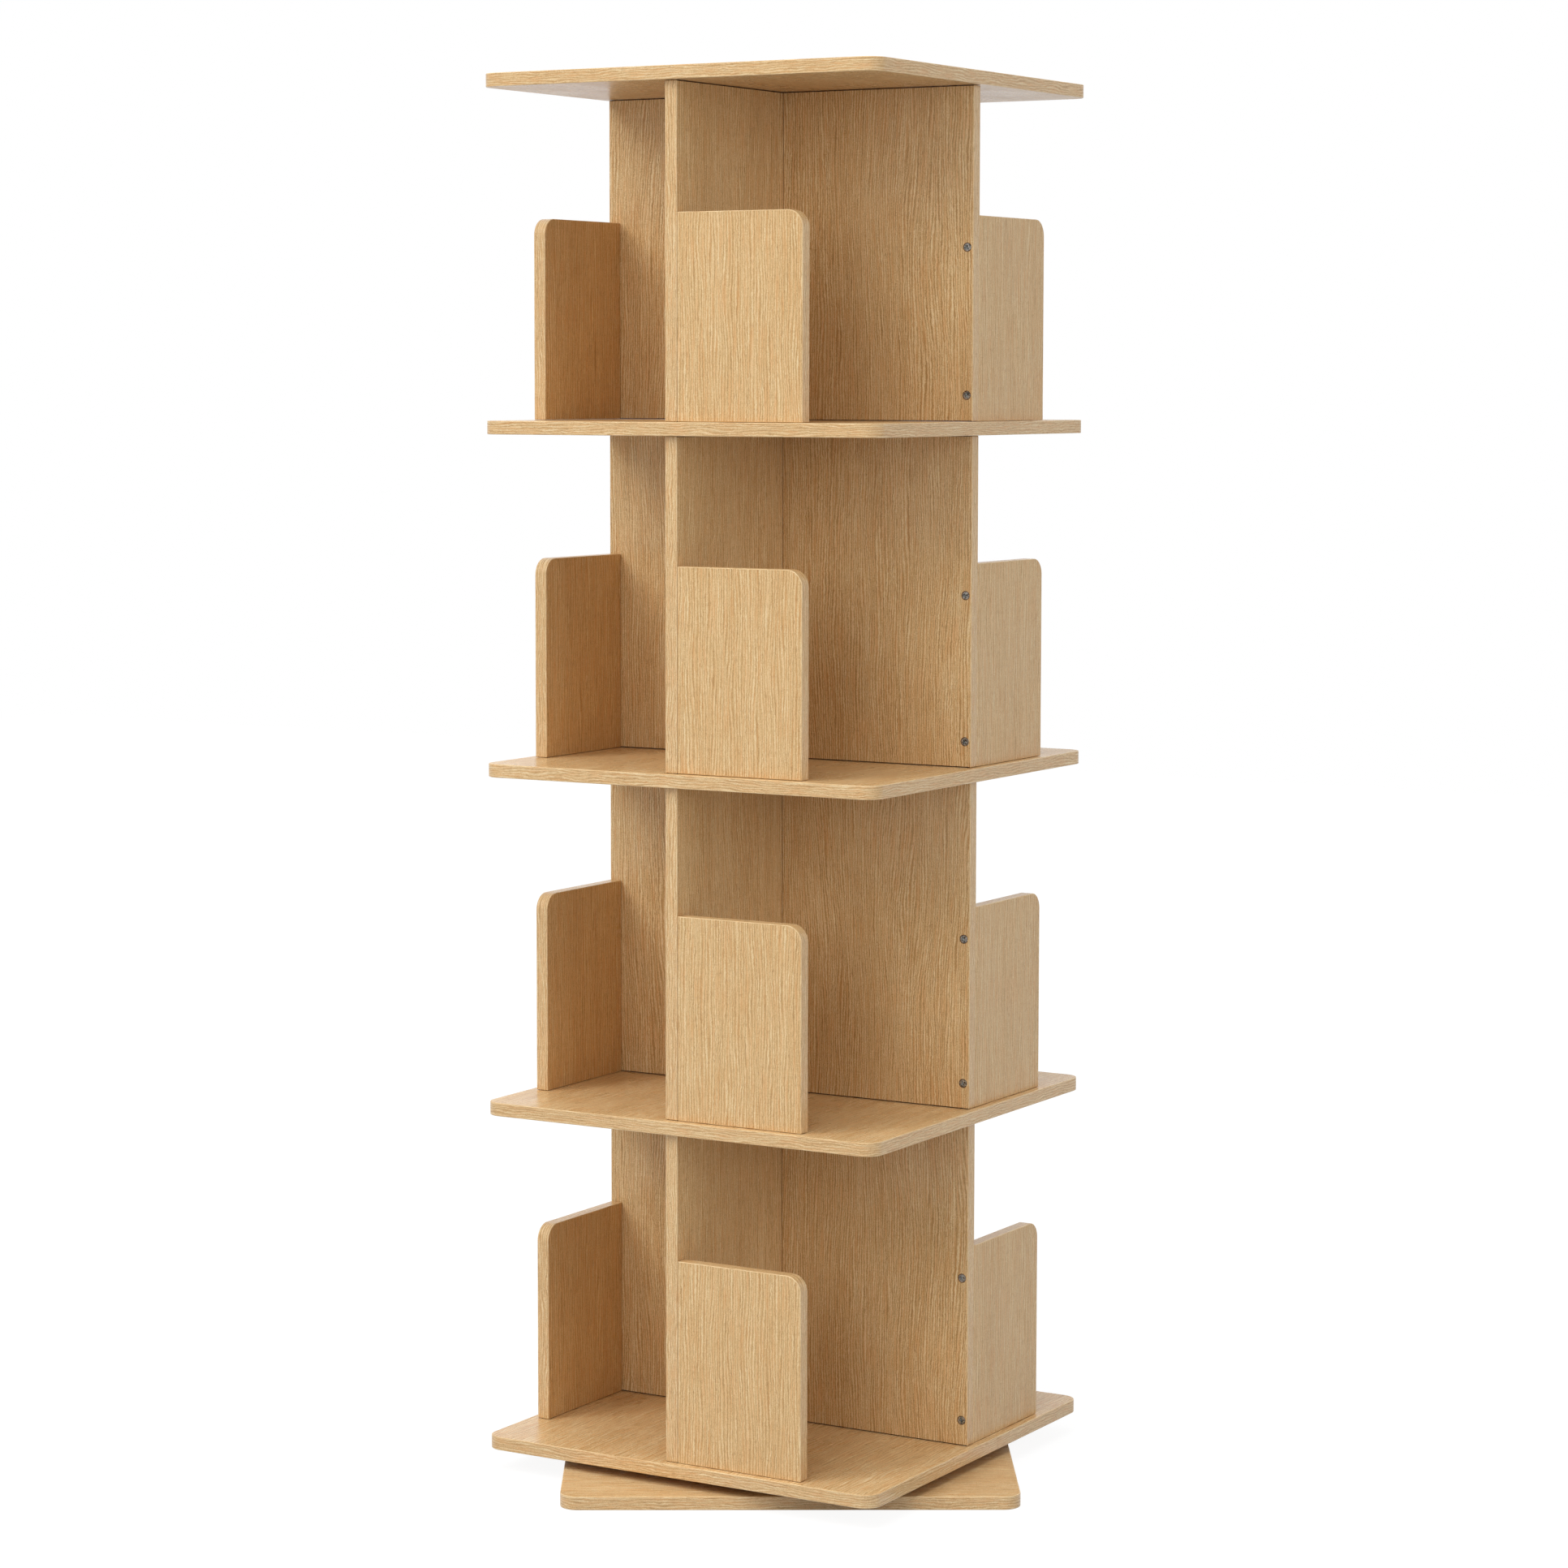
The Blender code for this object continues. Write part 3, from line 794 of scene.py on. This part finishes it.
def make_on_every_side(kind, first_seed, make_front):
    """Make one kind of upright piece for every tier and side. Make_front returns a tier's front mesh."""
    misfits = []
    for tier in range(1, TIERS + 1):
        for number, quarter in enumerate(QUARTERS):
            node = f"tier{tier}_{kind}_{quarter}"
            seed = first_seed + tier * len(QUARTERS) + number
            mesh = make_front(f"{node}_finished", tier, seed)
            mesh.transform(quarter_turn(quarter))
            misfits.append(finish_panel(f"{node}_finished", mesh, node, "tower"))
    say_how_they_fit(kind, misfits)


# %% [markdown]
# Two wood screws go through each divider into its side panel, with their heads sunk in countersinks. A
# countersink could be painted on, but a head must sit in a real hollow to catch its shadow. So Boolean
# takes cones out of the divider's mesh. The cones bring the raw material in their own third slot, and the
# walls that they cut keep it, so its dark tone adds painted shade in the ring round each head.

# %% Cut the countersinks
SCREW_FOOT_INSET = 0.023
SCREW_TOP_INSET = 0.028
SINK_RADIUS = 0.0041
SINK_ROOT_RADIUS = 0.0020
SINK_DEPTH = 0.0020
SINK_STEPS = 24
OVERRUN = 0.0005


def screw_places(tier):
    """Where the two screws go into the outer face of the tier's front divider, which faces -X."""
    divider_low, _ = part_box(f"tier{tier}_divider_front")
    panel_low, panel_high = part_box(f"tier{tier}_side_panel_front")
    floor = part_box(f"shelf_{tier}")[1].z
    middle = (panel_low.y + panel_high.y) / 2
    heights = (floor + SCREW_FOOT_INSET, panel_high.z - SCREW_TOP_INSET)
    return [Vector((divider_low.x, middle, height)) for height in heights]


def sink_cutter(places):
    """One cone for each screw, its wide end a little outside the face."""
    slope = (SINK_RADIUS - SINK_ROOT_RADIUS) / SINK_DEPTH
    bm = bmesh.new()
    for place in places:
        middle = place + Vector(((SINK_DEPTH - OVERRUN) / 2, 0, 0))
        bmesh.ops.create_cone(
            bm, cap_ends=True, segments=SINK_STEPS,
            radius1=SINK_RADIUS + slope * OVERRUN, radius2=SINK_ROOT_RADIUS,
            depth=SINK_DEPTH + OVERRUN,
            matrix=Matrix.Translation(middle) @ Matrix.Rotation(math.pi / 2, 4, "Y"),
        )
    mesh = bpy.data.meshes.new("sink_cutter")
    bm.to_mesh(mesh)
    bm.free()
    for material in (None, None, RAW_END):
        mesh.materials.append(material)
    mesh.polygons.foreach_set("material_index", [SLOT_RAW] * len(mesh.polygons))
    return bpy.data.objects.new("sink_cutter", mesh)


def with_countersinks(mesh, places):
    """The panel's mesh with a countersink at each place."""
    body = bpy.data.objects.new("uncut", mesh)
    cutter = sink_cutter(places)
    for item in (body, cutter):
        bpy.context.scene.collection.objects.link(item)
    cut = body.modifiers.new("countersinks", "BOOLEAN")
    cut.operation = "DIFFERENCE"
    cut.solver = "EXACT"
    cut.object = cutter
    depsgraph = bpy.context.evaluated_depsgraph_get()
    result = bpy.data.meshes.new_from_object(body.evaluated_get(depsgraph))
    result.name = mesh.name
    for item in (body, cutter):
        bpy.data.objects.remove(item)
    return result


# %% [markdown]
# A divider reaches from board to board. Its foot and head are raw, because the joints hide them but for a
# dark line, which the raw material's dark tone paints in part as shade, and only its two upright edges are
# banded. It is drawn lying down, as a joiner would, then stood up along Y, which is the front divider's
# direction, and its countersinks are cut last.

# %% Dividers
DIVIDER_SEED = 100
FOOT = (0, -1)
HEAD = (0, 1)


def front_divider(name, tier, seed):
    """The tier's front divider with its countersinks."""
    low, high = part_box(f"tier{tier}_divider_front")
    size = (high.y - low.y, high.z - low.z)
    mesh = panel_mesh(name, (0, 0), size, high.x - low.x, [EASE] * 4, OAK_DIVIDER, True, seed, (FOOT, HEAD))
    mesh.transform(stood_up(low, (0, 1, 0)))
    return with_countersinks(mesh, screw_places(tier))


make_on_every_side("divider", DIVIDER_SEED, front_divider)


# %% [markdown]
# A side panel is short and stands free of the board above, so it is banded all round, and one top corner is
# round, where a hand would meet it. The other three corners are only eased. It stands along X, across the
# end of its divider.

# %% Side panels
SIDE_SEED = 200
SIDE_RADII = [EASE, EASE, 0.015, EASE]


def front_side_panel(name, tier, seed):
    """The tier's front side panel."""
    low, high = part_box(f"tier{tier}_side_panel_front")
    size = (high.x - low.x, high.z - low.z)
    mesh = panel_mesh(name, (0, 0), size, high.y - low.y, SIDE_RADII, OAK_PANEL, True, seed)
    mesh.transform(stood_up(Vector((low.x, high.y, low.z)), (1, 0, 0)))
    return mesh


make_on_every_side("side_panel", SIDE_SEED, front_side_panel)


# %% [markdown]
# Zinc plated steel is grey, bright and a little uneven: rolled sheet and formed screw heads keep fine
# scratches under the plating. One even grey would look like plastic in such soft light, so clouds change
# its tone and scratches its gloss. The bearing's plates, balls and screws keep their shape from the packed
# model and only get this finish.

# %% Zinc plated steel
ZINC_LIGHT = screen_colour(232, 236, 234)
ZINC_DARK = screen_colour(92, 100, 102)
CLOUDS_PER_METRE = 900
CLOUD_DETAIL = 3
CLOUD_RANGE = (0.35, 0.65)
SCRATCHES_PER_METRE = (9000, 400, 400)
SCRATCH_RELIEF = {"Strength": 0.3, "Distance": 0.00003}
ZINC_ROUGHNESS = (0.25, 0.42)


def solid_noise(tree, place, scale, detail):
    """Noise in space, from 0 to 1, for a piece that has no grain map."""
    made = add_node(tree, "ShaderNodeTexNoise", {"Vector": place, "Scale": scale, "Detail": detail})
    return made.outputs["Fac"]


def zinc_material():
    """Bright zinc plating on steel, with cloudy tone, fine scratches and uneven gloss."""
    material = bpy.data.materials.new("zinc_plated_steel")
    tree, output = blank_tree(material)
    place = add_node(tree, "ShaderNodeTexCoord").outputs["Object"]
    clouds = solid_noise(tree, place, CLOUDS_PER_METRE, CLOUD_DETAIL)
    drawn = add_node(tree, "ShaderNodeMapping", {"Vector": place, "Scale": SCRATCHES_PER_METRE})
    scratches = solid_noise(tree, drawn.outputs[0], 1, 1)
    colour = blend_colours(tree, spread(tree, clouds, *CLOUD_RANGE), ZINC_DARK, ZINC_LIGHT)
    roughness = spread(tree, scratches, *MOST_OF_NOISE, *ZINC_ROUGHNESS)
    bump = add_node(tree, "ShaderNodeBump", {**SCRATCH_RELIEF, "Height": scratches})
    plating = add_node(
        tree, "ShaderNodeBsdfPrincipled",
        {"Base Color": colour, "Metallic": 1, "Roughness": roughness, "Normal": bump.outputs[0]},
    )
    tree.links.new(plating.outputs[0], output.inputs["Surface"])
    return material


ZINC = zinc_material()
bearing_nodes = [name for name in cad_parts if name.startswith("bearing_") or "_plate_screw_" in name]
for name in bearing_nodes:
    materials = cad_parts[name].data.materials
    materials.clear()
    materials.append(ZINC)
print("bearing:", len(bearing_nodes), "nodes plated")


# %% [markdown]
# Two countersunk screws hold each side panel, 32 in all. Copies in a loop would do, but the screws differ
# only in where their cross happened to stop turning, and Geometry Nodes are good at just that. They start
# from a mesh of loose points, one for each screw, that carries as an attribute the way each head faces.

# %% Points for the screws
def screw_points():
    """A mesh of loose points, one at each countersink, with the direction that the head faces."""
    places = []
    facings = []
    for tier in range(1, TIERS + 1):
        for quarter in QUARTERS:
            turn = quarter_turn(quarter)
            for place in screw_places(tier):
                places.append(turn @ place)
                facings.append(turn.to_3x3() @ Vector((-1, 0, 0)))
    mesh = bpy.data.meshes.new("side_panel_screws")
    mesh.from_pydata(places, [], [])
    facing = mesh.attributes.new("facing", "FLOAT_VECTOR", "POINT")
    facing.data.foreach_set("vector", [number for direction in facings for number in direction])
    return mesh


SCREW_POINTS = screw_points()
print("screws:", len(SCREW_POINTS.vertices), "places")


# %% [markdown]
# A screw is a crown that barely rises, a cone that fills the countersink, and a shank. Spin could turn its
# profile in one go, but solids joined by Boolean let every size stay an input of the tree, so that another
# screw is only other numbers. The divider's face is at Z 0.

# %% Body of a screw
HEAD_STEPS = 24


def lowered(tree, mesh, height):
    """A mesh moved along Z by a height that another node may give."""
    offset = add_node(tree, "ShaderNodeCombineXYZ", {"Z": height}).outputs[0]
    return add_node(tree, "GeometryNodeTransform", {"Geometry": mesh, "Translation": offset}).outputs[0]


def screw_cone(tree, top_radius, bottom_radius, depth):
    """A cut-off cone that stands on Z 0."""
    return add_node(tree, "GeometryNodeMeshCone", {
        "Vertices": HEAD_STEPS, "Radius Top": top_radius, "Radius Bottom": bottom_radius, "Depth": depth,
    }).outputs["Mesh"]


def screw_body(tree, given):
    """Crown, head and shank joined, sunk a little below Z 0."""
    crown_radius = calculate(tree, "SUBTRACT", given["Head Radius"], given["Crown Height"])
    crown = screw_cone(tree, crown_radius, given["Head Radius"], given["Crown Height"])
    head = screw_cone(tree, given["Head Radius"], given["Shank Radius"], given["Head Depth"])
    shank = add_node(tree, "GeometryNodeMeshCylinder", {
        "Vertices": HEAD_STEPS, "Radius": given["Shank Radius"], "Depth": given["Shank Length"],
    }).outputs["Mesh"]
    sunk = calculate(tree, "ADD", given["Head Sunk"], given["Crown Height"])
    crown_base = calculate(tree, "MULTIPLY", sunk, -1)
    head_base = calculate(tree, "SUBTRACT", crown_base, given["Head Depth"])
    half_shank = calculate(tree, "MULTIPLY", given["Shank Length"], 0.5)
    shank_middle = calculate(tree, "SUBTRACT", head_base, half_shank)
    solid = add_node(tree, "GeometryNodeMeshBoolean", operation="UNION")
    for part, height in ((crown, crown_base), (head, head_base), (shank, shank_middle)):
        tree.links.new(lowered(tree, part, height), solid.inputs["Mesh 2"])
    return solid.outputs["Mesh"]


# %% [markdown]
# The driver's cross is cut out of the head by two slots at a right angle. Then an instance of the screw
# goes on each point. Its Z is aligned with the point's facing, and a turn about that axis by a random
# angle, up to a quarter, stops its cross anywhere.

# %% Cross and place of a screw
def cut_cross(tree, given, solid):
    """The screw with two slots taken out of its head. Half of each slot's box stands above it."""
    slot_size = add_node(tree, "ShaderNodeCombineXYZ", {
        "X": given["Cross Span"], "Y": given["Cross Width"],
        "Z": calculate(tree, "MULTIPLY", given["Cross Depth"], 2),
    }).outputs[0]
    slot = add_node(tree, "GeometryNodeMeshCube", {"Size": slot_size}).outputs["Mesh"]
    slot = lowered(tree, slot, calculate(tree, "MULTIPLY", given["Head Sunk"], -1))
    other_slot = add_node(
        tree, "GeometryNodeTransform", {"Geometry": slot, "Rotation": (0, 0, math.pi / 2)}
    ).outputs[0]
    cut = add_node(tree, "GeometryNodeMeshBoolean", {"Mesh 1": solid}, operation="DIFFERENCE")
    for part in (slot, other_slot):
        tree.links.new(part, cut.inputs["Mesh 2"])
    return cut.outputs["Mesh"]


def set_on_points(tree, given, screw):
    """A screw on each point, facing as its point says, its cross at a random angle."""
    facing = add_node(
        tree, "GeometryNodeInputNamedAttribute", {"Name": "facing"}, data_type="FLOAT_VECTOR"
    ).outputs["Attribute"]
    aimed = add_node(tree, "FunctionNodeAlignRotationToVector", {"Vector": facing}, axis="Z").outputs[0]
    angle = add_node(
        tree, "FunctionNodeRandomValue", {2: 0, 3: math.pi / 2, "Seed": given["Seed"]}, data_type="FLOAT"
    ).outputs[1]
    twist = add_node(
        tree, "FunctionNodeAxisAngleToRotation", {"Axis": (0, 0, 1), "Angle": angle}
    ).outputs[0]
    stopped = add_node(
        tree, "FunctionNodeRotateRotation", {"Rotation": aimed, "Rotate By": twist}, rotation_space="LOCAL"
    ).outputs[0]
    return add_node(tree, "GeometryNodeInstanceOnPoints", {
        "Points": given["Points"], "Instance": screw, "Rotation": stopped,
    }).outputs[0]


# %% [markdown]
# The whole tree takes points and the screw's sizes in, and gives screws out. Its inputs have names, so it
# could be tuned by hand in the modifier panel. It ends by making the instances real, because an export
# would drop them, and by giving them the zinc.

# %% Tree of the screws
SCREW_INPUTS = (
    ("Head Radius", "NodeSocketFloat", 0.0035),
    ("Head Depth", "NodeSocketFloat", 0.0018),
    ("Head Sunk", "NodeSocketFloat", 0.0003),
    ("Crown Height", "NodeSocketFloat", 0.00015),
    ("Shank Radius", "NodeSocketFloat", 0.0017),
    ("Shank Length", "NodeSocketFloat", 0.006),
    ("Cross Span", "NodeSocketFloat", 0.0043),
    ("Cross Width", "NodeSocketFloat", 0.0011),
    ("Cross Depth", "NodeSocketFloat", 0.0015),
    ("Seed", "NodeSocketInt", 7),
    ("Finish", "NodeSocketMaterial", ZINC),
)


def screw_tree():
    """Screws on points: geometry in, geometry out, and the sizes as named inputs."""
    tree = bpy.data.node_groups.new("countersunk_screws", "GeometryNodeTree")
    tree.interface.new_socket("Points", in_out="INPUT", socket_type="NodeSocketGeometry")
    for name, kind, _ in SCREW_INPUTS:
        tree.interface.new_socket(name, in_out="INPUT", socket_type=kind)
    tree.interface.new_socket("Screws", in_out="OUTPUT", socket_type="NodeSocketGeometry")
    given = tree.nodes.new("NodeGroupInput").outputs
    result = tree.nodes.new("NodeGroupOutput")
    screw = cut_cross(tree, given, screw_body(tree, given))
    placed = set_on_points(tree, given, screw)
    real = add_node(tree, "GeometryNodeRealizeInstances", {"Geometry": placed}).outputs[0]
    plated = add_node(tree, "GeometryNodeSetMaterial", {"Geometry": real, "Material": given["Finish"]})
    tree.links.new(plated.outputs[0], result.inputs["Screws"])
    return tree


SCREW_TREE = screw_tree()
print("screws:", len(SCREW_TREE.nodes), "nodes in their tree")


# %% [markdown]
# A modifier runs the tree on the points. It wants each input by its socket's identifier, not its name. Its
# result is copied into a plain mesh, which no longer depends on the tree and turns with the tower.

# %% Drive the screws
def drive_screws(points, tree):
    """Run the tree on the points and keep its result as a plain mesh."""
    holder = bpy.data.objects.new("screw_points", points)
    bpy.context.scene.collection.objects.link(holder)
    modifier = holder.modifiers.new("countersunk_screws", "NODES")
    modifier.node_group = tree
    sockets = {item.name: item.identifier for item in tree.interface.items_tree if item.in_out == "INPUT"}
    for name, _, value in SCREW_INPUTS:
        modifier[sockets[name]] = value
    depsgraph = bpy.context.evaluated_depsgraph_get()
    mesh = bpy.data.meshes.new_from_object(holder.evaluated_get(depsgraph))
    bpy.data.objects.remove(holder)
    mesh.name = "side_panel_screws"
    screws = bpy.data.objects.new("side_panel_screws", mesh)
    bpy.context.scene.collection.objects.link(screws)
    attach(screws, "tower")
    return screws


screws = drive_screws(SCREW_POINTS, SCREW_TREE)
print("screws:", len(screws.data.polygons), "faces in all")
